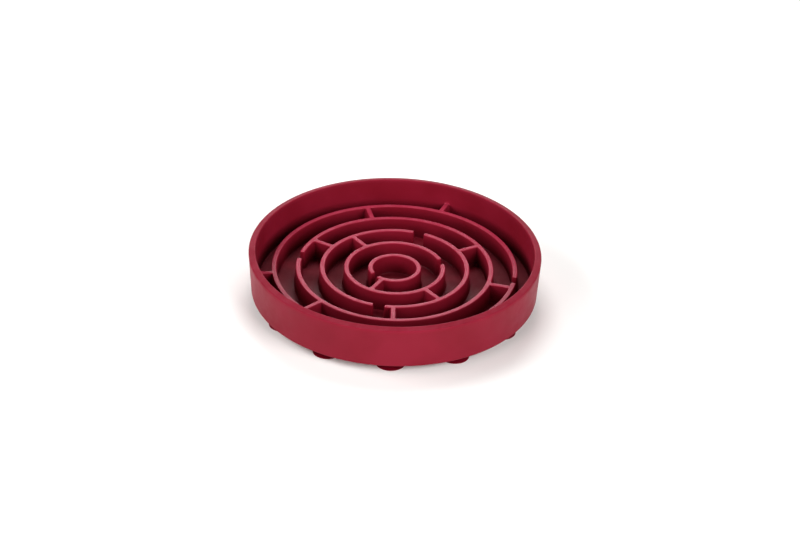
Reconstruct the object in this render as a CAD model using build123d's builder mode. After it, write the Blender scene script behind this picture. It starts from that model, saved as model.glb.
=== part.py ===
from build123d import *
from math import cos, radians, sin, tan
import os

# Slow feeder bowl of soft silicone: a shallow round bowl whose floor carries a maze of ring walls and
# cross walls, standing on push-in suction cups. Millimetres, +Z up.
# The origin is on the surface that the cups stand on, under the middle of the bowl.

# Bowl sizes
rim_diameter = 201.0
base_diameter = 197.0  # across the underside
bowl_height = 30.6  # underside to the inner edge of the rim
floor_thickness = 3.1
rim_thickness = 4.7  # wall at its top
foot_thickness = 4.3  # wall where it meets the floor
rim_fall = 1.3  # the rim's top slopes down to its outer edge by this much
rim_round = 0.8  # along both edges of the rim
base_round = 1.0

# Maze sizes
outer_channel_width = 9.25  # between the outermost ring and the rim wall, at the narrowest height
maze_height = 13.5  # above the floor
maze_wall = 3.4  # wall thickness at its top
maze_draft = 2.0  # degrees that each side of a wall leans in
maze_round = 0.65  # along the top edges
end_round = 1.2  # corners of a wall's end, in plan
blend_land = 0.3  # strip of a ring's flat top that a cross wall leaves free

# Ways through the rings, between the wall tops, innermost ring first
ring_gap_widths = [5.2, 6.4, 7.8, 8.0, 6.6]

# Directions from the middle, in degrees, innermost ring first
ring_gap_angles = [[218.0], [16.5], [71.0, 258.5], [169.0], [352.0]]
cross_wall_angles = [
    [241.5],
    [127.0, 309.0],
    [29.5, 149.5, 270.0],
    [104.5, 223.0, 345.5],
    [68.0, 187.5, 308.0],
]

# Suction cup sizes
cup_count = 12
cup_inset = 13.0  # middle of a cup in from the edge of the underside
cup_first_angle = -0.5
cup_stand_off = 5.5  # underside of the bowl above the surface
cup_lip_diameter = 20.0
cup_lip_land = 0.8  # flat ring that meets the surface
cup_lip_thickness = 0.6
cup_crown_diameter = 8.8
cup_crown_thickness = 1.3
cup_bell_slope = 45.0  # degrees below level at which the bell leaves the crown
cup_neck_diameter = 4.4
cup_neck_show = 1.1  # bare neck between the crown and the boss, room for the cup to flatten
cup_head_diameter = 7.2
cup_head_thickness = 1.2
cup_head_chamfer = 0.3
boss_diameter = 12.0
boss_height = 0.8
socket_neck_length = 1.4  # from the boss face to the undercut
socket_clearance = 0.1

# Heights
underside = cup_stand_off
floor_top = underside + floor_thickness
maze_top = floor_top + maze_height
rim_top = underside + bowl_height
rim_outer_top = rim_top - rim_fall
boss_face = underside - boss_height
undercut_bottom = boss_face + socket_neck_length
undercut_top = undercut_bottom + cup_head_thickness + 2 * socket_clearance
head_bottom = undercut_bottom + socket_clearance
head_top = head_bottom + cup_head_thickness
crown_top = boss_face - cup_neck_show
dome_top = crown_top - cup_crown_thickness

# Radii
rim_radius = rim_diameter / 2
rim_inner_radius = rim_radius - rim_thickness
base_radius = base_diameter / 2
wall_lean = (rim_radius - base_radius) / (rim_outer_top - underside)
wall_foot_radius = base_radius + wall_lean * floor_thickness
wall_inner_foot_radius = wall_foot_radius - foot_thickness
wall_inner_lean = (rim_inner_radius - wall_inner_foot_radius) / (rim_top - floor_top)
wall_inner_maze_radius = wall_inner_foot_radius + wall_inner_lean * maze_height
maze_lean = maze_height * tan(radians(maze_draft))
maze_foot = maze_wall + 2 * maze_lean
maze_reach = min(wall_inner_foot_radius, wall_inner_maze_radius) - outer_channel_width
ring_count = len(ring_gap_angles)
ring_pitch = (maze_reach - maze_foot / 2) / ring_count
ring_radii = [ring_pitch * number for number in range(1, ring_count + 1)]
cup_circle_radius = base_radius - cup_inset
cup_lip_radius = cup_lip_diameter / 2
cup_dome_radius = cup_lip_radius - cup_lip_land
cup_crown_radius = cup_crown_diameter / 2
cup_neck_radius = cup_neck_diameter / 2
cup_head_radius = cup_head_diameter / 2
bell_direction = (cos(radians(cup_bell_slope)), -sin(radians(cup_bell_slope)))

os.makedirs("parts", exist_ok=True)


def plane_along(angle):
    """Upright plane through the middle: its x runs out along a direction, its y up."""
    out = Vector(1, 0, 0).rotate(Axis.Z, angle)
    return Plane(origin=(0, 0, 0), x_dir=out, z_dir=out.rotate(Axis.Z, -90))


def plane_across(angle, distance):
    """Upright plane square to a direction, at a distance from the middle: its x runs across, its y up."""
    out = Vector(1, 0, 0).rotate(Axis.Z, angle)
    return Plane(origin=out * distance, x_dir=out.rotate(Axis.Z, 90), z_dir=out)


# Floor: a disc with a rounded lower edge, and a boss with an undercut socket under each cup's place
with BuildPart() as bowl_floor:
    with BuildSketch(Plane.XZ) as floor_section:
        with BuildLine():
            Polyline(
                (0, underside),
                (base_radius, underside),
                (wall_foot_radius, floor_top),
                (0, floor_top),
                close=True,
            )
        make_face()
        fillet(floor_section.vertices().group_by(Axis.Y)[0].sort_by(Axis.X)[-1], base_round)
    revolve(axis=Axis.Z)
    with BuildSketch(Plane.XY.offset(boss_face)):
        with PolarLocations(cup_circle_radius, cup_count, start_angle=cup_first_angle):
            Circle(boss_diameter / 2)
    extrude(amount=boss_height)
    with BuildSketch(Plane.XY.offset(boss_face)):
        with PolarLocations(cup_circle_radius, cup_count, start_angle=cup_first_angle):
            Circle(cup_neck_radius + socket_clearance)
    extrude(amount=socket_neck_length, mode=Mode.SUBTRACT)
    with BuildSketch(Plane.XY.offset(undercut_bottom)):
        with PolarLocations(cup_circle_radius, cup_count, start_angle=cup_first_angle):
            Circle(cup_head_radius + socket_clearance)
    extrude(amount=undercut_top - undercut_bottom, mode=Mode.SUBTRACT)
bowl_floor.part.label = "bowl_floor"
export_step(bowl_floor.part, "parts/bowl_floor.step")

# Rim wall: leans out a little on both faces, with a top that slopes outward between rounded edges
with BuildPart() as rim_wall:
    with BuildSketch(Plane.XZ) as wall_section:
        with BuildLine():
            Polyline(
                (wall_inner_foot_radius, floor_top),
                (wall_foot_radius, floor_top),
                (rim_radius, rim_outer_top),
                (rim_inner_radius, rim_top),
                close=True,
            )
        make_face()
        fillet(wall_section.vertices().sort_by(Axis.Y)[-2:], rim_round)
    revolve(axis=Axis.Z)
rim_wall.part.label = "rim_wall"
export_step(rim_wall.part, "parts/rim_wall.step")

# Space inside the rim wall, for trimming what ends at the wall
with BuildPart() as bowl_space:
    with BuildSketch(Plane.XZ):
        with BuildLine():
            Polyline(
                (0, floor_top),
                (wall_inner_foot_radius, floor_top),
                (rim_inner_radius, rim_top),
                (0, rim_top),
                close=True,
            )
        make_face()
    revolve(axis=Axis.Z)

# Maze rings: leaning walls on the floor, each cut through by its gaps and rounded at its ends and top
maze_rings = []
for number, radius in enumerate(ring_radii, start=1):
    gap_top = ring_gap_widths[number - 1]
    gap_foot = gap_top - 2 * maze_lean
    gap_angles = ring_gap_angles[number - 1]
    with BuildPart() as maze_ring:
        with BuildSketch(plane_along(gap_angles[0])):
            with BuildLine():
                Polyline(
                    (radius - maze_foot / 2, floor_top),
                    (radius + maze_foot / 2, floor_top),
                    (radius + maze_wall / 2, maze_top),
                    (radius - maze_wall / 2, maze_top),
                    close=True,
                )
            make_face()
        revolve(axis=Axis.Z)
        for angle in gap_angles:
            with BuildSketch(plane_across(angle, radius - maze_foot)):
                with BuildLine():
                    Polyline(
                        (-gap_foot / 2, floor_top),
                        (gap_foot / 2, floor_top),
                        (gap_top / 2, maze_top),
                        (-gap_top / 2, maze_top),
                        close=True,
                    )
                make_face()
            extrude(amount=2 * maze_foot, mode=Mode.SUBTRACT)
        flat_faces = maze_ring.faces().filter_by(GeomType.PLANE)
        wall_ends = flat_faces.filter_by(lambda face: abs(face.normal_at().Z) < 0.5)
        fillet([edge for face in wall_ends for edge in face.edges().sort_by(Axis.Z)[1:3]], end_round)
        fillet(maze_ring.faces().group_by(Axis.Z)[-1].edges(), maze_round)
    maze_ring.part.label = f"maze_ring_{number}"
    export_step(maze_ring.part, f"parts/maze_ring_{number}.step")
    maze_rings.append(maze_ring.part)

# Cross walls: bars of the maze's own section, trimmed to the walls that they tie together
for number, angles in enumerate(cross_wall_angles, start=1):
    inner_end = ring_radii[number - 1] + maze_wall / 2 - maze_round + blend_land
    if number < ring_count:
        outer_name = f"{number + 1}"
        outer_end = ring_radii[number] - maze_wall / 2 + maze_round - blend_land
        outer_trim = maze_rings[number]
        trim_mode = Mode.SUBTRACT
    else:
        outer_name = "rim"
        outer_end = max(wall_inner_foot_radius, rim_inner_radius)
        outer_trim = bowl_space.part
        trim_mode = Mode.INTERSECT
    with BuildPart() as cross_walls:
        for angle in angles:
            with BuildSketch(plane_across(angle, inner_end)) as bar_section:
                with BuildLine():
                    Polyline(
                        (-maze_foot / 2, floor_top),
                        (maze_foot / 2, floor_top),
                        (maze_wall / 2, maze_top),
                        (-maze_wall / 2, maze_top),
                        close=True,
                    )
                make_face()
                fillet(bar_section.vertices().group_by(Axis.Y)[-1], maze_round)
            extrude(amount=outer_end - inner_end)
        add(maze_rings[number - 1], mode=Mode.SUBTRACT)
        add(outer_trim, mode=trim_mode)
    cross_walls.part.label = f"cross_walls_{number}_to_{outer_name}"
    export_step(cross_walls.part, f"parts/cross_walls_{number}_to_{outer_name}.step")

# Suction cups: a thin bell on a neck, with a mushroom head held in the socket
for number in range(1, cup_count + 1):
    angle = radians(cup_first_angle + 360 / cup_count * (number - 1))
    middle = (cup_circle_radius * cos(angle), cup_circle_radius * sin(angle), 0)
    with BuildPart() as suction_cup:
        with BuildSketch(Plane(origin=middle, x_dir=(1, 0, 0), z_dir=(0, -1, 0))):
            with BuildLine():
                TangentArc((0, dome_top), (cup_dome_radius, 0), tangent=(1, 0))
                Polyline(
                    (cup_dome_radius, 0),
                    (cup_lip_radius, 0),
                    (cup_lip_radius, cup_lip_thickness),
                )
                TangentArc(
                    (cup_crown_radius, crown_top),
                    (cup_lip_radius, cup_lip_thickness),
                    tangent=bell_direction,
                )
                Polyline(
                    (cup_crown_radius, crown_top),
                    (cup_neck_radius, crown_top),
                    (cup_neck_radius, head_bottom),
                    (cup_head_radius, head_bottom),
                    (cup_head_radius, head_top - cup_head_chamfer),
                    (cup_head_radius - cup_head_chamfer, head_top),
                    (0, head_top),
                    (0, dome_top),
                )
            make_face()
        revolve(axis=Axis(middle, (0, 0, 1)))
    suction_cup.part.label = f"suction_cup_{number:02d}"
    export_step(suction_cup.part, f"parts/suction_cup_{number:02d}.step")
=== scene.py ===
"""Slow feeder bowl: the looks of a silicone maze bowl on twelve suction cups, made around its solids.

Metres, in the frame of the solids: +Z up, the origin on the surface under the middle of the bowl.
"""

import math
from typing import NamedTuple

import bmesh
import bpy
from bpy.props import FloatProperty, IntProperty, PointerProperty, StringProperty
from mathutils import Matrix, Vector


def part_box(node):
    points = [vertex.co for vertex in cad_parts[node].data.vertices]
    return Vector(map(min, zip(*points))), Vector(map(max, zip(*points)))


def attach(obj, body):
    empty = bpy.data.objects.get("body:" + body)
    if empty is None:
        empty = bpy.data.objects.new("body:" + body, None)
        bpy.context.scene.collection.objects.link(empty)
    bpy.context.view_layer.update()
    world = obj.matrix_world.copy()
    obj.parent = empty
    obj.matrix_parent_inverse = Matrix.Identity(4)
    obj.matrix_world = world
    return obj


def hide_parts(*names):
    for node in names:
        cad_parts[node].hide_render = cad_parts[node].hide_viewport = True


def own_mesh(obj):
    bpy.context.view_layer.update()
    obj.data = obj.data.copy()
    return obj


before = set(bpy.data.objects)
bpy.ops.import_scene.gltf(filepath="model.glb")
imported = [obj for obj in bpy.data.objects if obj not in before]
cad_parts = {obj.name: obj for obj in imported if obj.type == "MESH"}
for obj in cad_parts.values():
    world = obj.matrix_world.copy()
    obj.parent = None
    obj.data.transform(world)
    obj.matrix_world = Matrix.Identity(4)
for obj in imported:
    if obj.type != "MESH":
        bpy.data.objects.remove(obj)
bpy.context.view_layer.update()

bl_info = {
    "name": "Slow feeder bowl",
    "version": (1, 0, 0),
    "blender": (4, 5, 0),
    "location": "View3D > Sidebar > Feeder bowl",
    "description": "Builds a silicone slow feeder bowl, its suction cups and a studio stage",
    "category": "Object",
}

MM = 0.001
BOWL_NODES = [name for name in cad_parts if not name.startswith("suction_cup")]
CUP_NODES = sorted(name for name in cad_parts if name.startswith("suction_cup"))

# Ways through the rings, between the wall tops, innermost ring first
GAP_WIDTHS = [5.2 * MM, 6.4 * MM, 7.8 * MM, 8.0 * MM, 6.6 * MM]

# Directions from the middle, in degrees, innermost ring first
RING_GAPS = [[218.0], [16.5], [71.0, 258.5], [169.0], [352.0]]
CROSS_WALLS = [
    [241.5],
    [127.0, 309.0],
    [29.5, 149.5, 270.0],
    [104.5, 223.0, 345.5],
    [68.0, 187.5, 308.0],
]
RIM = len(RING_GAPS) + 1  # the rim wall's number, next after the rings
INNER, OUTER = -1, 1  # the two faces of a ring

# How fine the skins are
EDGE_STEPS = 6  # faces across a rounded edge of a wall or the rim, and across a fillet at the floor
CORNER_STEPS = 5  # faces round a corner of the walls, in plan
SMALL_STEPS = 4  # faces across the small roundings of cups and bosses
ARC_STEPS = 16  # faces along a cup's bell and its hollow
WALL_SHARES = (0.15, 0.5, 0.85)  # levels down the side of a wall, between its top edge and its fillet
SIDE_SHARES = (0.25, 0.5, 0.75)  # points along the side of a cross wall or the end of a ring
FEWEST_FACES = 3  # along a face of a ring, between two corners
FACES_PER_RADIAN = 24  # at least, round a small ring
RISE_STEPS = 4  # faces across the end of a cross wall on the rim wall
BOSS_SIDES = 48
PAPER_SIDES = 96
MERGE_DISTANCE = 0.001 * MM  # points of a cup's skin nearer than this become one

# Corners of the walls, in plan. The walls grow thicker towards the floor
CORNER_LOSS = 0.3  # share of that growth that an inside corner's rounding loses
LEAST_CORNER = 0.35 * MM  # what is left of it at least
END_GAIN = 0.4  # share of that growth that the rounding of a wall's end gains
WIDEST_SPAN = 6.0  # radians along a ring: a wider span means that two corners overlap

# Tones of the skin
RIM_PAINTED_HIGHLIGHT = 0.2  # painted highlight: how much of the pale colour painted on the wall tops the rim has
RIM_DULLNESS = 0.25  # how much is added to the roughness on the rim's top
FLOOR_PAINTED_SHADE = 0.15  # how much of the painted shade at the foot of the walls the floor has
SMOOTHER, ROUGHER = 0.05, 0.06  # how far the roughness strays from its setting
BLOOM_LEVEL = 0.6  # bloom starts where the surface faces up by this share
SILICONE_IOR = 1.41

# The photograph's frame in pixels, and a camera for it
PICTURE_WIDTH, PICTURE_HEIGHT = 800, 533
SENSOR_WIDTH = 36  # millimetres
FARTHEST_SEEN = 50  # metres

# Softboxes round the bowl: direction and height in degrees, distance, width and height in metres, watts,
# and whether the silicone mirrors them
SOFTBOXES = {
    "low back softbox": (90, 15, 1.9, 1.2, 0.7, 17.0, True),
    "low front left softbox": (225, 15, 1.9, 1.2, 0.7, 16.8, False),
    "low front right softbox": (315, 15, 1.9, 1.2, 0.7, 17.2, False),
    "left softbox": (180, 35, 1.9, 1.2, 0.7, 17.2, True),
    "front left softbox": (225, 35, 1.9, 1.2, 0.7, 4.5, True),
    "front right softbox": (315, 35, 1.9, 1.2, 0.7, 18.0, True),
    "near top softbox": (90, 60, 0.6, 0.3, 0.3, 1.5, True),
}


# Settings


def length(name, description, default):
    """A length setting, in metres."""
    return FloatProperty(name=name, description=description, default=default, unit="LENGTH", precision=5)


def number(name, description, default):
    """A plain number setting."""
    return FloatProperty(name=name, description=description, default=default, precision=4)


def angle(name, description, degrees):
    """An angle setting, shown in degrees."""
    return FloatProperty(name=name, description=description, default=math.radians(degrees), subtype="ANGLE")


def colour(name, description, default):
    """A colour setting, as an sRGB hex value."""
    return StringProperty(name=name, description=description, default=default)


class FeederBowlSettings(bpy.types.PropertyGroup):
    """Sizes of the bowl's shell."""

    rim_radius: length("Rim radius", "Middle of the bowl to the outer edge of its rim", 100.5 * MM)
    rim_top: length("Rim top", "Height of the rim's inner edge above the surface", 36.1 * MM)
    floor_top: length("Floor top", "Height of the floor above the surface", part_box("rim_wall")[0].z)
    floor_thickness: length("Floor thickness", "Floor from its top to the underside", 3.1 * MM)
    base_radius: length("Base radius", "Middle of the bowl to the edge of its underside", 98.5 * MM)
    rim_thickness: length("Rim thickness", "Wall at its top", 4.7 * MM)
    foot_thickness: length("Foot thickness", "Wall where it meets the floor", 4.3 * MM)
    rim_fall: length("Rim fall", "Slope of the rim's top down to its outer edge", 1.3 * MM)
    rim_round: length("Rim rounding", "Both edges of the rim", 0.8 * MM)
    dull_band: length("Dull band", "How far down from its edges the rim's dull top fades out", 3.0 * MM)
    base_round: length("Base rounding", "Outer edge of the underside", 1.0 * MM)
    base_band: length("Base band", "Flat band along the edge of the underside", 3.0 * MM)


class FeederMazeSettings(bpy.types.PropertyGroup):
    """Sizes of the walls on the floor."""

    top: length("Maze top", "Height of the maze walls above the surface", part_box("maze_ring_1")[1].z)
    wall: length("Wall thickness", "Maze wall across its top", 3.4 * MM)
    draft: angle("Draft", "Lean of each side of a wall", 2.0)
    top_round: length("Top rounding", "Long top edges of a wall", 0.65 * MM)
    foot_round: length("Foot fillet", "Fillet between a wall and the floor", 0.8 * MM)
    end_round: length("End rounding", "Corners of a wall's end, in plan", 1.1 * MM)
    corner_round: length("Corner rounding", "Inside corners where two walls meet, in plan", 0.9 * MM)
    end_rise: length("End rise", "How far a cross wall runs up the rim wall", 1.8 * MM)
    spacing: length("Point spacing", "Distance between points along a wall", 1.5 * MM)


class FeederCupSettings(bpy.types.PropertyGroup):
    """Sizes of a suction cup and of its boss under the floor."""

    lip_radius: length("Lip radius", "Middle of the cup to the edge of its lip", 10.0 * MM)
    lip_land: length("Lip land", "Flat ring that meets the surface", 0.8 * MM)
    lip_thickness: length("Lip thickness", "Edge of the lip", 0.6 * MM)
    lip_round: length("Lip rounding", "Upper edge of the lip", 0.2 * MM)
    lip_under_round: length("Lip lower rounding", "Lower edge of the lip", 0.15 * MM)
    crown_radius: length("Crown radius", "Flat top of the bell", 4.4 * MM)
    crown_top: length("Crown top", "Height of the bell", 3.6 * MM)
    dome_top: length("Dome top", "Height of the hollow under the bell", 2.3 * MM)
    bell_slope: angle("Bell slope", "How steeply the bell leaves its crown", 45.0)
    neck_radius: length("Neck radius", "Stem between the bell and the head", 2.2 * MM)
    neck_root: length("Neck root", "Fillet between the neck and the bell", 0.3 * MM)
    neck_round: length("Neck fillet", "Fillet between the neck and the head", 0.15 * MM)
    head_radius: length("Head radius", "Mushroom head that is held in the floor", 3.6 * MM)
    head_bottom: length("Head bottom", "Height of the head's underside", 6.2 * MM)
    head_top: length("Head top", "Height of the head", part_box(CUP_NODES[0])[1].z)
    head_round: length("Head rounding", "Upper edge of the head", 0.3 * MM)
    head_under_round: length("Head lower rounding", "Lower edge of the head", 0.2 * MM)
    boss_radius: length("Boss radius", "Raised ring round a cup's socket", 6.0 * MM)
    boss_face: length("Boss face", "Height of the boss above the surface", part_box("bowl_floor")[0].z)
    boss_round: length("Boss rounding", "Edge of the boss", 0.25 * MM)
    boss_foot: length("Boss fillet", "Fillet between the boss and the underside", 0.4 * MM)
    boss_band: length("Boss band", "Flat band of the underside round a boss", 1.0 * MM)
    socket_neck: length("Socket neck", "Depth of the socket's narrow part", 1.4 * MM)
    socket_mouth: length("Socket mouth", "Rounded edge of the socket", 0.15 * MM)
    clearance: length("Clearance", "Room round the neck and the head", 0.1 * MM)
    sides: IntProperty(name="Sides", description="Faces round a cup", default=72, min=12)
    press: length("Press", "How far a cup flattens when the bowl is pressed down", 2.0 * MM)


class FeederLookSettings(bpy.types.PropertyGroup):
    """Colours and finish of the silicone."""

    bowl_colour: colour("Bowl colour", "Crimson silicone of the bowl", "#781829")
    # The deep colour is painted shade at the feet of the maze walls
    bowl_painted_shade: colour("Deep bowl colour", "Crimson at the feet of the maze walls", "#62101F")
    # The pale colour is also the painted highlight on the wall tops and the rim
    bowl_pale: colour("Pale bowl colour", "Crimson on the wall tops and in the mottle", "#A02D48")
    bloom_colour: colour("Bloom colour", "Dry bloom that lies on level silicone", "#C7A3A8")
    cup_colour: colour("Cup colour", "Deep red silicone of the cups", "#6A0A20")
    roughness: number("Roughness", "Mould finish of the bowl", 0.46)
    cup_roughness: number("Cup roughness", "Mould finish of the cups", 0.34)
    grain: length("Grain", "Size of the mould's spark texture, as drawn", 1.4 * MM)
    grain_depth: length("Grain depth", "Depth of that texture on the bowl", 0.05 * MM)
    cup_grain_depth: length("Cup grain depth", "Depth of that texture on the cups", 0.03 * MM)
    sag: length("Sag", "Size of the soft waves of the bowl's skin", 22.0 * MM)
    sag_depth: length("Sag depth", "Depth of those waves", 0.06 * MM)
    mottle: length("Mottle", "Size of the slow changes in colour", 30.0 * MM)
    painted_highlight_mottle: length("Wall top mottle", "Size of the changes in colour on the wall tops", 6.0 * MM)
    bloom: length("Bloom", "Size of the clouds of bloom", 12.0 * MM)
    finish: length("Finish", "Size of the changes in the bowl's roughness", 9.0 * MM)
    cup_mottle: length("Cup mottle", "Size of the changes in the cups' colour", 5.0 * MM)
    cup_finish: length("Cup finish", "Size of the changes in the cups' roughness", 4.0 * MM)


class FeederStageSettings(bpy.types.PropertyGroup):
    """Camera, paper and room of the studio."""

    distance: length("Camera distance", "Camera to the middle of the maze's top", 2232.6 * MM)
    elevation: angle("Camera elevation", "Height of the camera above the horizon", 31.861)
    roll: angle("Camera roll", "Turn of the camera about its line of sight", 1.811)
    focal: number("Focal length", "Focal length in pixels of the photograph", 3244.8)
    aim_x: number("Aim across", "Picture column of the middle of the maze's top", 394.645)
    aim_y: number("Aim down", "Picture row of the middle of the maze's top", 267.357)
    floor_colour: colour("Floor colour", "Pale studio paper", "#F4F3F1")
    floor_radius: length("Floor radius", "Round sheet of paper under the bowl", 1500.0 * MM)
    room_colour: colour("Room colour", "White room beyond the paper", "#FFFFFF")


SETTINGS = {
    "feeder_bowl": FeederBowlSettings,
    "feeder_maze": FeederMazeSettings,
    "feeder_cups": FeederCupSettings,
    "feeder_look": FeederLookSettings,
    "feeder_stage": FeederStageSettings,
}


# Places from the solids


def ring_reach(ring):
    """How far a ring's solid extends from the bowl's axis."""
    low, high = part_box(f"maze_ring_{ring}")
    return max(high.x, high.y, -low.x, -low.y)


def cup_middle(node):
    """Point on the surface under the middle of a cup."""
    low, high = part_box(node)
    middle = (low + high) / 2
    middle.z = low.z
    return middle


# Plane shapes


def polar(radius, turn, height=0.0):
    """A point at a distance and an angle from the bowl's axis."""
    return Vector((radius * math.cos(turn), radius * math.sin(turn), height))


def heading(point):
    """The angle of a point round the bowl's axis."""
    return math.atan2(point.y, point.x)


def round_corners(corners, steps):
    """A line through (x, y, rounding) corners, with an arc in place of each rounded one."""
    line = []
    for place, (x, y, rounding) in enumerate(corners):
        here = Vector((x, y))
        if not rounding:
            line.append(here)
            continue
        before = (Vector(corners[place - 1][:2]) - here).normalized()
        after = (Vector(corners[place + 1][:2]) - here).normalized()
        half = before.angle(after) / 2
        centre = here + (before + after).normalized() * (rounding / math.sin(half))
        start = here + before * (rounding / math.tan(half)) - centre
        turn = start.angle_signed(here + after * (rounding / math.tan(half)) - centre)
        for step in range(steps + 1):
            line.append(centre + Matrix.Rotation(-turn * step / steps, 2) @ start)
    return line


def tangent_arc(start, direction, end):
    """Points of the arc that leaves start in a direction and comes to end."""
    start, end = Vector(start), Vector(end)
    side = Vector((-direction[1], direction[0])).normalized()
    chord = end - start
    radius = chord.length_squared / (2 * chord.dot(side))
    centre = start + side * radius
    turn = (start - centre).angle_signed(end - centre)
    spins = [Matrix.Rotation(-turn * step / ARC_STEPS, 2) for step in range(ARC_STEPS + 1)]
    return [centre + spin @ (start - centre) for spin in spins]


# The maze's outline


def underside(bowl):
    """Height of the bowl's underside."""
    return bowl.floor_top - bowl.floor_thickness


def rim_inner(bowl, maze, height):
    """Inner radius of the rim wall at a height, with the fillet at its foot."""
    lean = (bowl.rim_radius - bowl.base_radius) / (bowl.rim_top - bowl.rim_fall - underside(bowl))
    foot = bowl.base_radius + lean * bowl.floor_thickness - bowl.foot_thickness
    top = bowl.rim_radius - bowl.rim_thickness
    slope = math.atan2(top - foot, bowl.rim_top - bowl.floor_top)
    fillet = maze.foot_round
    rise = height - bowl.floor_top
    if rise >= fillet * (1 - math.sin(slope)):
        return foot + rise * math.tan(slope)
    centre = foot - fillet * (1 - math.sin(slope)) / math.cos(slope)
    return centre + math.sqrt(max(0.0, fillet**2 - (fillet - rise) ** 2))


class Level(NamedTuple):
    """One level of the maze walls."""

    distance: float  # from the middle line of a wall to its face
    height: float
    rim_radius: float  # of the rim wall's inner face
    tone: float  # painted light: 1 for the painted highlight on a wall's top, 0 under its edge, -1 for the painted shade at its foot, a little of that shade on the floor


def wall_levels(bowl, maze):
    """Levels down a maze wall, from its top to the floor."""
    half = maze.wall / 2
    quarter = math.radians(90)
    draft = maze.draft
    away = (1 - math.sin(draft)) / math.cos(draft)
    crest = half - maze.top_round * away
    foot = half + (maze.top - bowl.floor_top) * math.tan(draft) + maze.foot_round * away
    edge = []
    fillet = []
    for step in range(EDGE_STEPS + 1):
        share = step / EDGE_STEPS
        turn = quarter + (draft - quarter) * share
        distance = crest + maze.top_round * math.cos(turn)
        height = maze.top + maze.top_round * (math.sin(turn) - 1)
        edge.append((distance, height, 1 - share))
        turn = 2 * quarter + draft + (quarter - draft) * share
        distance = foot + maze.foot_round * math.cos(turn)
        height = bowl.floor_top + maze.foot_round * (math.sin(turn) + 1)
        fillet.append((distance, height, (1 - FLOOR_PAINTED_SHADE) * share - 1))
    side = []
    for share in WALL_SHARES:
        distance, height = (a + (b - a) * share for a, b in zip(edge[-1][:2], fillet[0][:2]))
        side.append((distance, height, -share))
    return [Level(d, z, rim_inner(bowl, maze, z), tone) for d, z, tone in edge + side + fillet]


def maze_walks():
    """Closed walks along the foot of the walls, with the floor on the left hand.

    A step is (ring, face, kind, direction): along that face of that ring, up to the gap or cross wall
    in that direction. Inner faces are walked anticlockwise and outer faces clockwise.
    """
    stops = {}
    for ring in range(1, RIM + 1):
        gaps = [("gap", a) for a in RING_GAPS[ring - 1]] if ring < RIM else []
        stops[ring, INNER] = gaps + ([("bar", a) for a in CROSS_WALLS[ring - 2]] if ring > 1 else [])
        if ring < RIM:
            stops[ring, OUTER] = gaps + [("bar", a) for a in CROSS_WALLS[ring - 1]]
    waiting = sorted((*face, *stop) for face, found in stops.items() for stop in found)
    walks = []
    while waiting:
        step = waiting[0]
        walk = []
        while step in waiting:
            waiting.remove(step)
            walk.append(step)
            ring, face, kind, here = step
            ring, face = (ring if kind == "gap" else ring + face), -face
            ahead = min(stops[ring, face], key=lambda stop: ((here - stop[1]) * face) % 360 or 360)
            step = (ring, face, *ahead)
        walks.append(walk)
    return walks


def angle_walked(start, end, face):
    """Angle along a face between two points, anticlockwise on inner faces."""
    return ((heading(end) - heading(start)) * -face) % math.tau


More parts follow.
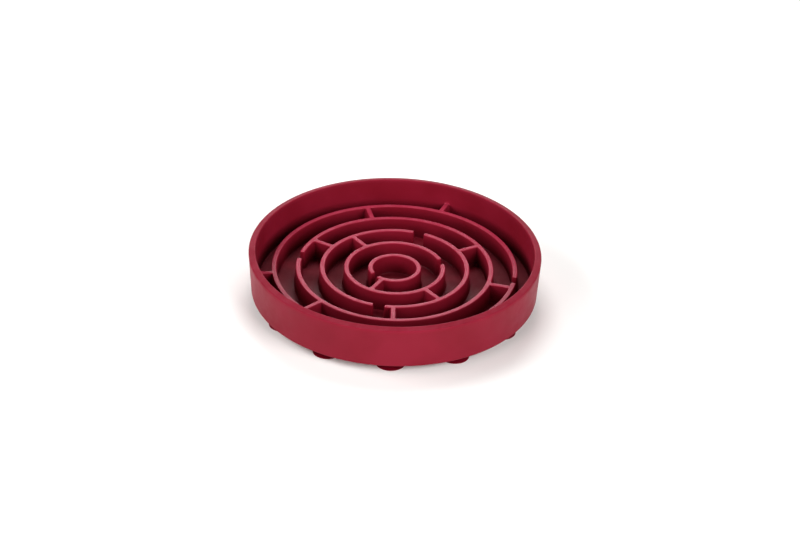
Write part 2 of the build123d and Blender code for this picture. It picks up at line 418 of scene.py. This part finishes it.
class Outline:
    """The walks as points, at any level of the walls."""

    def __init__(self, bowl, maze):
        half_foot = maze.wall / 2 + (maze.top - bowl.floor_top) * math.tan(maze.draft)
        self.maze = maze
        self.radii = [ring_reach(ring) - half_foot for ring in range(1, RIM)]
        self.levels = wall_levels(bowl, maze)
        self.guide = self.levels[EDGE_STEPS]  # just under the rounded top edge
        self.walks = maze_walks()

    def face_radius(self, ring, face, level):
        """Radius of a ring's face, or of the rim wall's inner face, at a level."""
        if ring == RIM:
            return level.rim_radius
        return self.radii[ring - 1] + face * level.distance

    def corner(self, ring, face, stop, level):
        """Rounded corner between a ring's face and the near side of a stop, from the face on."""
        maze = self.maze
        stop_ring, side, kind, direction = stop
        growth = level.distance - maze.wall / 2
        radius = self.face_radius(ring, face, level)
        if kind == "bar":
            across = level.distance
            rounding = max(maze.corner_round - CORNER_LOSS * growth, LEAST_CORNER)
            middle_radius = radius + face * rounding
        else:
            across = GAP_WIDTHS[stop_ring - 1] / 2 - growth
            # Across the rounded top edge, where the growth is negative, the arcs share one centre
            rounding = maze.end_round + growth * (END_GAIN if growth > 0 else 1.0)
            middle_radius = radius - face * rounding
        middle_across = across + rounding
        along = math.sqrt(middle_radius**2 - middle_across**2)
        middle = Vector((along, side * middle_across))
        on_face = middle * (radius / middle_radius) - middle
        on_side = Vector((along, side * across)) - middle
        turn = on_face.angle_signed(on_side)
        spin = Matrix.Rotation(math.radians(direction), 2)
        arc = [Matrix.Rotation(-turn * step / CORNER_STEPS, 2) for step in range(CORNER_STEPS + 1)]
        return [spin @ (middle + bend @ on_face) for bend in arc]

    def step_corners(self, walk, place, level):
        """Corners at the start and the end of a step, in the order of the walk."""
        ring, face, _, _ = walk[place]
        start = self.corner(ring, face, walk[place - 1], level)[::-1]
        end = self.corner(ring, face, walk[place], level)
        return start, end

    def face_count(self, walk, place):
        """Number of faces along a step, which is the same at every level."""
        ring, face, _, _ = walk[place]
        start, end = self.step_corners(walk, place, self.guide)
        per_radian = max(self.face_radius(ring, face, self.guide) / self.maze.spacing, FACES_PER_RADIAN)
        return max(FEWEST_FACES, round(angle_walked(start[-1], end[0], face) * per_radian))

    def points(self, walk, level):
        """A walk at one level, as (point, lies on the rim wall)."""
        points = []
        for place, (ring, face, _, _) in enumerate(walk):
            start, end = self.step_corners(walk, place, level)
            span = angle_walked(start[-1], end[0], face)
            if span > WIDEST_SPAN or span <= 0:
                raise ValueError(f"The corners of ring {ring} meet at {walk[place]}")
            radius = self.face_radius(ring, face, level)
            first = heading(start[-1])
            count = self.face_count(walk, place)
            points += [(point, False) for point in start[:-1]]
            for n in range(count + 1):
                point = polar(radius, first - face * span * n / count)
                points.append((point.xy, ring == RIM))
            points += [(point, False) for point in end[1:]]
            following, _ = self.step_corners(walk, (place + 1) % len(walk), level)
            points += [(end[-1].lerp(following[0], share), False) for share in SIDE_SHARES]
        return points


# The bowl's skin


def join_rows(mesh, first, second):
    """Faces between two closed rows of points."""
    for n, (a, b) in enumerate(zip(first, second)):
        mesh.faces.new((first[n - 1], a, b, second[n - 1]))


def row_edges(row):
    """The edges of a closed row of points that faces already join."""
    pairs = [(row[n - 1], row[n]) for n in range(len(row))]
    return [next(edge for edge in a.link_edges if edge.other_vert(a) is b) for a, b in pairs]


def fill_level(mesh, edges, up):
    """Level faces within closed rows of edges, facing up (1) or down (-1)."""
    bmesh.ops.triangle_fill(mesh, edges=edges, use_beauty=True, normal=(0, 0, up))


def add_maze(mesh, outline):
    """Adds the sides of the maze walls and the floor.

    Returns the edges round the open tops of the walls, and the points at their height on the rim wall.
    """
    crest, painted_shade = (mesh.verts.layers.float[name] for name in ("crest", "painted_shade"))
    top_edges = []
    rim_points = []
    for walk in outline.walks:
        rows = []
        for level in outline.levels:
            points = outline.points(walk, level)
            on_rim = [flag for _, flag in points]
            rows.append([mesh.verts.new((point.x, point.y, level.height)) for point, _ in points])
            # Painted highlight on the wall tops, painted shade at their feet and a little on the floor
            for vert, flag in zip(rows[-1], on_rim):
                vert[crest] = 0.0 if flag else max(level.tone, 0.0)
                vert[painted_shade] = max(-level.tone, 0.0)
        for above, below in zip(rows, rows[1:]):
            join_rows(mesh, above, below)
        for n, edge in enumerate(row_edges(rows[0])):
            if not (on_rim[n - 1] and on_rim[n]):
                top_edges.append(edge)
        rim_points += [vert for vert, flag in zip(rows[0], on_rim) if flag]
        fill_level(mesh, row_edges(rows[-1]), 1)
    return top_edges, rim_points


def add_bar_ends(mesh, bowl, maze, rim_points):
    """Adds the ends of the outermost cross walls, which run up the rim wall a little.

    Returns the closed row of points round the rim wall, and the edges of the ends.
    """
    ordered = sorted(rim_points, key=lambda vert: heading(vert.co))
    rim_row = []
    end_edges = []
    for n, vert in enumerate(ordered):
        before = ordered[n - 1]
        if not any(edge.other_vert(before) is vert for edge in before.link_edges):
            first = heading(before.co)
            span = (heading(vert.co) - first) % math.tau
            chain = [before]
            for step in range(1, RISE_STEPS):
                height = maze.top + maze.end_rise * math.sin(math.pi * step / RISE_STEPS)
                point = polar(rim_inner(bowl, maze, height), first + span * step / RISE_STEPS, height)
                chain.append(mesh.verts.new(point))
            chain.append(vert)
            end_edges += [mesh.edges.new(pair) for pair in zip(chain, chain[1:])]
            rim_row += chain[1:-1]
        rim_row.append(vert)
    return rim_row, end_edges


def rim_section(bowl, maze):
    """Section of the rim wall: up its inside, over the rim, down its outside and under the bowl's edge."""
    inner_foot = Vector((rim_inner(bowl, maze, maze.top), maze.top))
    inner_top = Vector((bowl.rim_radius - bowl.rim_thickness, bowl.rim_top))
    outer_top = Vector((bowl.rim_radius, bowl.rim_top - bowl.rim_fall))
    outer_foot = Vector((bowl.base_radius, underside(bowl)))
    corners = [
        (*inner_top.lerp(inner_foot, bowl.dull_band / (inner_top.y - inner_foot.y)), 0),
        (*inner_top, bowl.rim_round),
        (*outer_top, bowl.rim_round),
        (*outer_top.lerp(outer_foot, bowl.dull_band / (outer_top.y - outer_foot.y)), 0),
        (*outer_foot, bowl.base_round),
        (bowl.base_radius - bowl.base_band, underside(bowl), 0),
    ]
    return round_corners(corners, EDGE_STEPS)


def add_rim(mesh, bowl, maze, rim_row):
    """Adds the rim wall above the maze and its outside, and returns the last row, on the underside."""
    crest, dullness = (mesh.verts.layers.float[name] for name in ("crest", "dullness"))
    turns = [heading(vert.co) for vert in rim_row]
    last = rim_row
    for radius, height in rim_section(bowl, maze):
        row = [mesh.verts.new(polar(radius, turn, height)) for turn in turns]
        on_top = height > bowl.rim_top - bowl.rim_fall - bowl.rim_round
        # Painted highlight on the rim's top
        for vert in row:
            vert[crest] = RIM_PAINTED_HIGHLIGHT if on_top else 0.0
            vert[dullness] = 1.0 if on_top else 0.0
        join_rows(mesh, last, row)
        last = row
    return last


def boss_section(bowl, cups):
    """Half section of a boss, from the underside over its face and into the socket for a cup's head."""
    undercut = cups.boss_face + cups.socket_neck
    hole = cups.neck_radius + cups.clearance
    socket = cups.head_radius + cups.clearance
    corners = [
        (cups.boss_radius + cups.boss_band, underside(bowl), 0),
        (cups.boss_radius, underside(bowl), cups.boss_foot),
        (cups.boss_radius, cups.boss_face, cups.boss_round),
        (hole, cups.boss_face, cups.socket_mouth),
        (hole, undercut, 0),
        (socket, undercut, 0),
        (socket, cups.head_top + cups.clearance, 0),
    ]
    return round_corners(corners, SMALL_STEPS)


def add_boss(mesh, section, middle):
    """Adds a boss with its socket, and returns its first row, on the underside."""
    turns = [math.tau * side / BOSS_SIDES for side in range(BOSS_SIDES)]
    rows = []
    for radius, height in section:
        row = [(middle.x + radius * math.cos(turn), middle.y + radius * math.sin(turn)) for turn in turns]
        rows.append([mesh.verts.new((x, y, height)) for x, y in row])
    for outer, inner in zip(rows, rows[1:]):
        join_rows(mesh, outer, inner)
    mesh.faces.new(rows[-1])
    return rows[0]


def moulding_mesh(bowl, maze, cups):
    """The bowl as one closed skin: maze, rim wall, underside and cup sockets."""
    mesh = bmesh.new()
    for name in ("crest", "painted_shade", "dullness"):
        mesh.verts.layers.float.new(name)
    top_edges, rim_points = add_maze(mesh, Outline(bowl, maze))
    rim_row, end_edges = add_bar_ends(mesh, bowl, maze, rim_points)
    fill_level(mesh, top_edges + end_edges, 1)
    base_edges = row_edges(add_rim(mesh, bowl, maze, rim_row))
    section = boss_section(bowl, cups)
    for node in CUP_NODES:
        base_edges += row_edges(add_boss(mesh, section, cup_middle(node)))
    fill_level(mesh, base_edges, -1)
    bmesh.ops.recalc_face_normals(mesh, faces=mesh.faces)
    for face in mesh.faces:
        face.smooth = True
    made = bpy.data.meshes.new("bowl_moulding")
    mesh.to_mesh(made)
    mesh.free()
    return made


# Pieces


def add_piece(name, mesh):
    """An object at the origin for a mesh."""
    piece = bpy.data.objects.new(name, mesh)
    bpy.context.scene.collection.objects.link(piece)
    return piece


def evaluated_mesh(piece):
    """The mesh that a piece's modifiers give, as plain data."""
    graph = bpy.context.evaluated_depsgraph_get()
    return bpy.data.meshes.new_from_object(piece.evaluated_get(graph), depsgraph=graph)


def settle_normals(piece):
    """Leaves flat faces flat beside their rounded edges."""
    piece.modifiers.new("Weighted normals", "WEIGHTED_NORMAL")
    mesh = evaluated_mesh(piece)
    piece.modifiers.clear()
    old, piece.data = piece.data, mesh
    bpy.data.meshes.remove(old)


# Nodes

NODE_STEP = 200  # a tree's nodes stand in a row, in the order they are made


def add_node(tree, kind, inputs=None, **settings):
    """A node with its settings made and its inputs set or linked."""
    node = tree.nodes.new(kind)
    node.location.x = NODE_STEP * len(tree.nodes)
    for name, value in settings.items():
        setattr(node, name, value)
    for name, value in (inputs or {}).items():
        if isinstance(value, bpy.types.NodeSocket):
            tree.links.new(value, node.inputs[name])
        else:
            node.inputs[name].default_value = value
    return node


def set_input(modifier, name, value):
    """Sets a named input of a nodes modifier."""
    items = modifier.node_group.interface.items_tree
    socket = next(item for item in items if item.name == name and item.in_out == "INPUT")
    modifier[socket.identifier] = value


# Suction cups


def cup_section(cups):
    """Half section of a cup, from the middle of its head round to the middle of its hollow."""
    head_to_crown = [
        (0, cups.head_top, 0),
        (cups.head_radius, cups.head_top, cups.head_round),
        (cups.head_radius, cups.head_bottom, cups.head_under_round),
        (cups.neck_radius, cups.head_bottom, cups.neck_round),
        (cups.neck_radius, cups.crown_top, cups.neck_root),
        (cups.crown_radius, cups.crown_top, 0),
    ]
    slope = (math.cos(cups.bell_slope), -math.sin(cups.bell_slope))
    crown = (cups.crown_radius, cups.crown_top)
    bell = tangent_arc(crown, slope, (cups.lip_radius, cups.lip_thickness))
    land = (cups.lip_radius - cups.lip_land, 0)
    lip = [
        (*bell[-2], 0),
        (cups.lip_radius, cups.lip_thickness, cups.lip_round),
        (cups.lip_radius, 0, cups.lip_under_round),
        (*land, 0),
    ]
    hollow = tangent_arc((0, cups.dome_top), (1, 0), land)[::-1]
    stem = round_corners(head_to_crown, SMALL_STEPS)
    return stem + bell[1:-2] + round_corners(lip, SMALL_STEPS) + hollow[1:]


def revolve_tree():
    """Turns a half section round a cup's axis: x is the radius and z the height."""
    tree = bpy.data.node_groups.new("Revolved cup", "GeometryNodeTree")
    sockets = {
        "Section": "NodeSocketGeometry",
        "Sides": "NodeSocketInt",
        "Middle": "NodeSocketVector",
        "Silicone": "NodeSocketMaterial",
    }
    for name, kind in sockets.items():
        tree.interface.new_socket(name, in_out="INPUT", socket_type=kind)
    tree.interface.new_socket("Cup", in_out="OUTPUT", socket_type="NodeSocketGeometry")
    given = add_node(tree, "NodeGroupInput")
    section, sides, middle, silicone = (given.outputs[name] for name in sockets)
    # A grid with a row for each point of the section, whose first and last columns meet
    size = add_node(tree, "GeometryNodeAttributeDomainSize", {"Geometry": section})
    around = add_node(tree, "ShaderNodeMath", {0: sides, 1: 1.0}, operation="ADD").outputs[0]
    counts = {"Vertices X": size.outputs["Point Count"], "Vertices Y": around}
    grid = add_node(tree, "GeometryNodeMeshGrid", counts).outputs["Mesh"]
    index = add_node(tree, "GeometryNodeInputIndex").outputs[0]
    rows = add_node(tree, "ShaderNodeMath", {0: index, 1: around}, operation="DIVIDE").outputs[0]
    row = add_node(tree, "ShaderNodeMath", {0: rows}, operation="FLOOR").outputs[0]
    column = add_node(tree, "ShaderNodeMath", {0: index, 1: around}, operation="MODULO").outputs[0]
    share = add_node(tree, "ShaderNodeMath", {0: column, 1: sides}, operation="DIVIDE").outputs[0]
    turn = add_node(tree, "ShaderNodeMath", {0: share, 1: math.tau}, operation="MULTIPLY").outputs[0]
    # Each row takes its point of the section, turned and moved to the cup's place
    position = add_node(tree, "GeometryNodeInputPosition").outputs[0]
    found = {"Geometry": section, "Value": position, "Index": row}
    found = add_node(tree, "GeometryNodeSampleIndex", found, data_type="FLOAT_VECTOR", domain="POINT")
    turned = {"Vector": found.outputs[0], "Angle": turn}
    turned = add_node(tree, "ShaderNodeVectorRotate", turned, rotation_type="Z_AXIS").outputs[0]
    placed = add_node(tree, "ShaderNodeVectorMath", {0: turned, 1: middle}, operation="ADD").outputs[0]
    skin = add_node(tree, "GeometryNodeSetPosition", {"Geometry": grid, "Position": placed}).outputs[0]
    merged = {"Geometry": skin, "Distance": MERGE_DISTANCE}
    skin = add_node(tree, "GeometryNodeMergeByDistance", merged).outputs[0]
    skin = add_node(tree, "GeometryNodeSetShadeSmooth", {"Geometry": skin}).outputs[0]
    skin = add_node(tree, "GeometryNodeRealizeInstances", {"Geometry": skin}).outputs[0]
    skin = add_node(tree, "GeometryNodeSetMaterial", {"Geometry": skin, "Material": silicone}).outputs[0]
    add_node(tree, "NodeGroupOutput", {"Cup": skin})
    return tree


# Materials

# Sockets of a mix node that mixes colours
MIX_SHARE, MIX_UNDER, MIX_OVER, MIX_COLOUR = 0, 6, 7, 2


def linear(code):
    """An sRGB hex colour as the linear colour that shaders take."""
    parts = [int(code[n : n + 2], 16) / 255 for n in (1, 3, 5)]
    return (*(p / 12.92 if p <= 0.04045 else ((p + 0.055) / 1.055) ** 2.4 for p in parts), 1.0)


def new_material(name):
    """A material with an empty node tree, and that tree."""
    material = bpy.data.materials.new(name)
    material.use_nodes = True
    material.node_tree.nodes.clear()
    return material, material.node_tree


def millimetres(tree):
    """Object coordinates counted in millimetres."""
    place = add_node(tree, "ShaderNodeTexCoord").outputs["Object"]
    scaled = {0: place, 1: (1 / MM, 1 / MM, 1 / MM)}
    return add_node(tree, "ShaderNodeVectorMath", scaled, operation="MULTIPLY").outputs[0]


def pattern(tree, place, size, detail, roughness, between, to):
    """Cloudy pattern of a size in metres, whose middle values are spread from two limits to two others."""
    cloud = {"Vector": place, "Scale": MM / size, "Detail": detail, "Roughness": roughness}
    value = add_node(tree, "ShaderNodeTexNoise", cloud).outputs[0]
    (low, high), (least, most) = between, to
    spread = {"Value": value, "From Min": low, "From Max": high, "To Min": least, "To Max": most}
    return add_node(tree, "ShaderNodeMapRange", spread, clamp=True).outputs[0]


def bowl_silicone(look):
    """Crimson moulded silicone: a dry, matte skin with soft highlights, a painted highlight on the tops of
    its walls and painted shade at their feet.
    """
    material, tree = new_material("crimson moulded silicone")
    place = millimetres(tree)
    crimson, deep, pale = (linear(code) for code in (look.bowl_colour, look.bowl_painted_shade, look.bowl_pale))
    mottle = pattern(
        tree, place, look.mottle, detail=2.0, roughness=0.5, between=(0.35, 0.65), to=(0.0, 0.16)
    )
    mottled = {MIX_SHARE: mottle, MIX_UNDER: crimson, MIX_OVER: pale}
    tone = add_node(tree, "ShaderNodeMix", mottled, data_type="RGBA").outputs[MIX_COLOUR]
    # Painted shade: the maze walls are darker towards their feet
    painted_shade = add_node(tree, "ShaderNodeAttribute", attribute_name="painted_shade").outputs["Fac"]
    painted_shade_mix = {MIX_SHARE: painted_shade, MIX_UNDER: tone, MIX_OVER: deep}
    tone = add_node(tree, "ShaderNodeMix", painted_shade_mix, data_type="RGBA").outputs[MIX_COLOUR]
    # Painted highlight: their tops are unevenly paler, and the rim is so a little
    crest = add_node(tree, "ShaderNodeAttribute", attribute_name="crest").outputs["Fac"]
    uneven = pattern(
        tree, place, look.painted_highlight_mottle, detail=4.0, roughness=0.6, between=(0.3, 0.7), to=(0.6, 0.9)
    )
    share = add_node(tree, "ShaderNodeMath", {0: crest, 1: uneven}, operation="MULTIPLY").outputs[0]
    lightened = {MIX_SHARE: share, MIX_UNDER: tone, MIX_OVER: pale}
    tone = add_node(tree, "ShaderNodeMix", lightened, data_type="RGBA").outputs[MIX_COLOUR]
    # Dry bloom lies in thin clouds on what faces up
    normal = add_node(tree, "ShaderNodeNewGeometry").outputs["Normal"]
    up = add_node(tree, "ShaderNodeSeparateXYZ", {0: normal}).outputs["Z"]
    level = {"Value": up, "From Min": BLOOM_LEVEL}
    level = add_node(tree, "ShaderNodeMapRange", level, clamp=True).outputs[0]
    clouds = pattern(
        tree, place, look.bloom, detail=5.0, roughness=0.65, between=(0.4, 0.75), to=(0.0, 0.04)
    )
    share = add_node(tree, "ShaderNodeMath", {0: level, 1: clouds}, operation="MULTIPLY").outputs[0]
    dusted = {MIX_SHARE: share, MIX_UNDER: tone, MIX_OVER: linear(look.bloom_colour)}
    tone = add_node(tree, "ShaderNodeMix", dusted, data_type="RGBA").outputs[MIX_COLOUR]
    # The skin sags softly, and the mould's spark texture, finer on the real bowl, is coarse enough to show
    waves = {"Vector": place, "Scale": MM / look.sag, "Detail": 1.0, "Roughness": 0.4}
    waves = add_node(tree, "ShaderNodeTexNoise", waves).outputs[0]
    soft = {"Strength": 1.0, "Distance": look.sag_depth, "Height": waves}
    soft = add_node(tree, "ShaderNodeBump", soft).outputs[0]
    grain = {"Vector": place, "Scale": MM / look.grain, "Detail": 2.0, "Roughness": 0.6}
    grain = add_node(tree, "ShaderNodeTexNoise", grain).outputs[0]
    fine = {"Strength": 0.35, "Distance": look.grain_depth, "Height": grain, "Normal": soft}
    skin = add_node(tree, "ShaderNodeBump", fine).outputs[0]
    # The gloss is a little uneven, and the rim is duller
    limits = (look.roughness - SMOOTHER, look.roughness + ROUGHER)
    finish = pattern(tree, place, look.finish, detail=3.0, roughness=0.6, between=(0.3, 0.7), to=limits)
    dullness = add_node(tree, "ShaderNodeAttribute", attribute_name="dullness").outputs["Fac"]
    dulled = {0: dullness, 1: RIM_DULLNESS, 2: finish}
    finish = add_node(tree, "ShaderNodeMath", dulled, operation="MULTIPLY_ADD").outputs[0]
    surface = {
        "Base Color": tone,
        "Roughness": finish,
        "Normal": skin,
        "IOR": SILICONE_IOR,
        "Specular IOR Level": 0.28,
        "Subsurface Weight": 0.04,
        "Subsurface Radius": (1.0, 0.2, 0.15),
        "Subsurface Scale": 1.5 * MM,
    }
    shader = add_node(tree, "ShaderNodeBsdfPrincipled", surface).outputs[0]
    add_node(tree, "ShaderNodeOutputMaterial", {"Surface": shader})
    return material


def cup_silicone(look):
    """Deep red cup silicone: smoother than the bowl and more see-through, so it looks darker and wetter."""
    material, tree = new_material("deep red cup silicone")
    place = millimetres(tree)
    shade = pattern(
        tree, place, look.cup_mottle, detail=3.0, roughness=0.6, between=(0.3, 0.7), to=(0.0, 0.12)
    )
    shaded = {MIX_SHARE: shade, MIX_UNDER: linear(look.cup_colour), MIX_OVER: linear(look.bowl_colour)}
    tone = add_node(tree, "ShaderNodeMix", shaded, data_type="RGBA").outputs[MIX_COLOUR]
    # The mould's texture, finer on the real cup, is coarse enough to show
    grain = {"Vector": place, "Scale": MM / look.grain, "Detail": 2.0, "Roughness": 0.5}
    grain = add_node(tree, "ShaderNodeTexNoise", grain).outputs[0]
    fine = {"Strength": 0.25, "Distance": look.cup_grain_depth, "Height": grain}
    skin = add_node(tree, "ShaderNodeBump", fine).outputs[0]
    limits = (look.cup_roughness - SMOOTHER, look.cup_roughness + ROUGHER)
    finish = pattern(tree, place, look.cup_finish, detail=3.0, roughness=0.6, between=(0.3, 0.7), to=limits)
    surface = {
        "Base Color": tone,
        "Roughness": finish,
        "Normal": skin,
        "IOR": SILICONE_IOR,
        "Subsurface Weight": 0.15,
        "Subsurface Radius": (1.0, 0.15, 0.12),
        "Subsurface Scale": 2.0 * MM,
    }
    shader = add_node(tree, "ShaderNodeBsdfPrincipled", surface).outputs[0]
    add_node(tree, "ShaderNodeOutputMaterial", {"Surface": shader})
    return material


def studio_paper(stage):
    """Pale studio paper: even, matte and nearly white."""
    material, tree = new_material("pale studio paper")
    surface = {"Base Color": linear(stage.floor_colour), "Roughness": 0.9, "Specular IOR Level": 0.2}
    shader = add_node(tree, "ShaderNodeBsdfPrincipled", surface).outputs[0]
    add_node(tree, "ShaderNodeOutputMaterial", {"Surface": shader})
    return material


# The stage


def studio_room(stage):
    """White room beyond the paper, which is seen but gives no light of its own."""
    world = bpy.data.worlds.new("studio")
    world.use_nodes = True
    tree = world.node_tree
    tree.nodes.clear()
    seen = add_node(tree, "ShaderNodeLightPath").outputs["Is Camera Ray"]
    room = {"Color": linear(stage.room_colour), "Strength": seen}
    white = add_node(tree, "ShaderNodeBackground", room).outputs[0]
    add_node(tree, "ShaderNodeOutputWorld", {"Surface": white})
    return world


def paper_mesh(stage):
    """A round sheet of paper."""
    paper = bpy.data.meshes.new("studio_floor")
    edge = [polar(stage.floor_radius, math.tau * side / PAPER_SIDES) for side in range(PAPER_SIDES)]
    paper.from_pydata(edge, [], [range(PAPER_SIDES)])
    paper.materials.append(studio_paper(stage))
    return paper


def add_light(name, place, aim, size, power, mirrored):
    """A soft rectangular light that faces the object."""
    light = bpy.data.lights.new(name, "AREA")
    light.shape = "RECTANGLE"
    light.size, light.size_y = size
    light.energy = power
    lamp = bpy.data.objects.new(name, light)
    bpy.context.scene.collection.objects.link(lamp)
    lamp.location = place
    lamp.visible_glossy = mirrored
    lamp.rotation_euler = (aim - place).to_track_quat("-Z", "Y").to_euler()


def add_camera(stage, aim):
    """The photograph's camera, on the -Y side, a little turned about its line of sight."""
    back = Vector((0, -math.cos(stage.elevation), math.sin(stage.elevation)))
    right = Vector((1, 0, 0))
    up = back.cross(right)
    across = right * math.cos(stage.roll) + up * math.sin(stage.roll)
    upward = up * math.cos(stage.roll) - right * math.sin(stage.roll)
    off_x = (stage.aim_x - PICTURE_WIDTH / 2) / stage.focal
    off_y = (stage.aim_y - PICTURE_HEIGHT / 2) / stage.focal
    eye = aim + (back - across * off_x + upward * off_y) * stage.distance
    data = bpy.data.cameras.new("photo camera")
    data.sensor_width = SENSOR_WIDTH
    data.lens = stage.focal * SENSOR_WIDTH / PICTURE_WIDTH
    data.clip_end = FARTHEST_SEEN
    camera = bpy.data.objects.new("photo camera", data)
    bpy.context.scene.collection.objects.link(camera)
    camera.matrix_world = Matrix.Translation(eye) @ Matrix((across, upward, back)).transposed().to_4x4()
    bpy.context.scene.camera = camera


# Operators


class OBJECT_OT_feeder_bowl(bpy.types.Operator):
    """Build the bowl moulding with its maze"""

    bl_idname = "object.feeder_bowl"
    bl_label = "Build bowl"

    def execute(self, context):
        scene = context.scene
        skin = moulding_mesh(scene.feeder_bowl, scene.feeder_maze, scene.feeder_cups)
        piece = add_piece("bowl_moulding", skin)
        settle_normals(piece)
        piece.data.materials.append(bowl_silicone(scene.feeder_look))
        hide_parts(*BOWL_NODES)
        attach(piece, "bowl")
        return {"FINISHED"}


class OBJECT_OT_feeder_cups(bpy.types.Operator):
    """Build the suction cups from one half section"""

    bl_idname = "object.feeder_cups"
    bl_label = "Build suction cups"

    def execute(self, context):
        cups = context.scene.feeder_cups
        silicone = cup_silicone(context.scene.feeder_look)
        tree = revolve_tree()
        points = [(x, 0, z) for x, z in cup_section(cups)]
        section = bpy.data.meshes.new("cup_section")
        section.from_pydata(points, [(n, n + 1) for n in range(len(points) - 1)], [])
        for node in CUP_NODES:
            middle = cup_middle(node)
            maker = add_piece("cup_maker", section)
            modifier = maker.modifiers.new("Revolved cup", "NODES")
            modifier.node_group = tree
            set_input(modifier, "Sides", cups.sides)
            set_input(modifier, "Middle", middle)
            set_input(modifier, "Silicone", silicone)
            piece = add_piece(f"{node}_skin", evaluated_mesh(maker))
            bpy.data.objects.remove(maker)
            settle_normals(piece)
            body = node.replace("suction_cup", "cup")
            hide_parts(node)
            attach(piece, body)
            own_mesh(piece)
        return {"FINISHED"}


class OBJECT_OT_feeder_stage(bpy.types.Operator):
    """Build the floor, the room, the lights and the camera"""

    bl_idname = "object.feeder_stage"
    bl_label = "Build stage"

    def execute(self, context):
        scene = context.scene
        stage = scene.feeder_stage
        add_piece("studio_floor", paper_mesh(stage))
        aim = Vector((0, 0, scene.feeder_maze.top))
        for name, (direction, height, distance, width, tall, power, mirrored) in SOFTBOXES.items():
            turn = Matrix.Rotation(math.radians(direction), 3, "Z")
            tilt = Matrix.Rotation(math.radians(-height), 3, "Y")
            place = aim + turn @ tilt @ Vector((distance, 0, 0))
            add_light(name, place, aim, (width, tall), power, mirrored)
        scene.world = studio_room(stage)
        scene.view_settings.view_transform = "Standard"
        scene.view_settings.look = "Medium High Contrast"
        add_camera(stage, aim)
        return {"FINISHED"}


class VIEW3D_PT_feeder(bpy.types.Panel):
    """Settings and build buttons of the feeder bowl"""

    bl_idname = "VIEW3D_PT_feeder"
    bl_label = "Feeder bowl"
    bl_space_type = "VIEW_3D"
    bl_region_type = "UI"
    bl_category = "Feeder bowl"

    def draw(self, context):
        for name, group in SETTINGS.items():
            box = self.layout.box()
            box.label(text=group.__doc__)
            for setting in group.__annotations__:
                box.prop(getattr(context.scene, name), setting)
        for operator in OPERATORS:
            self.layout.operator(operator.bl_idname)


OPERATORS = (OBJECT_OT_feeder_bowl, OBJECT_OT_feeder_cups, OBJECT_OT_feeder_stage)
CLASSES = (*SETTINGS.values(), *OPERATORS, VIEW3D_PT_feeder)


def register():
    """Adds the settings, operators and panel to Blender."""
    for cls in CLASSES:
        bpy.utils.register_class(cls)
    for name, group in SETTINGS.items():
        setattr(bpy.types.Scene, name, PointerProperty(type=group))


def unregister():
    """Takes them out again."""
    for name in SETTINGS:
        delattr(bpy.types.Scene, name)
    for cls in reversed(CLASSES):
        bpy.utils.unregister_class(cls)


def main():
    """Builds every piece and the stage."""
    register()
    bpy.ops.object.feeder_bowl()
    bpy.ops.object.feeder_cups()
    bpy.ops.object.feeder_stage()


if __name__ == "__main__":
    main()
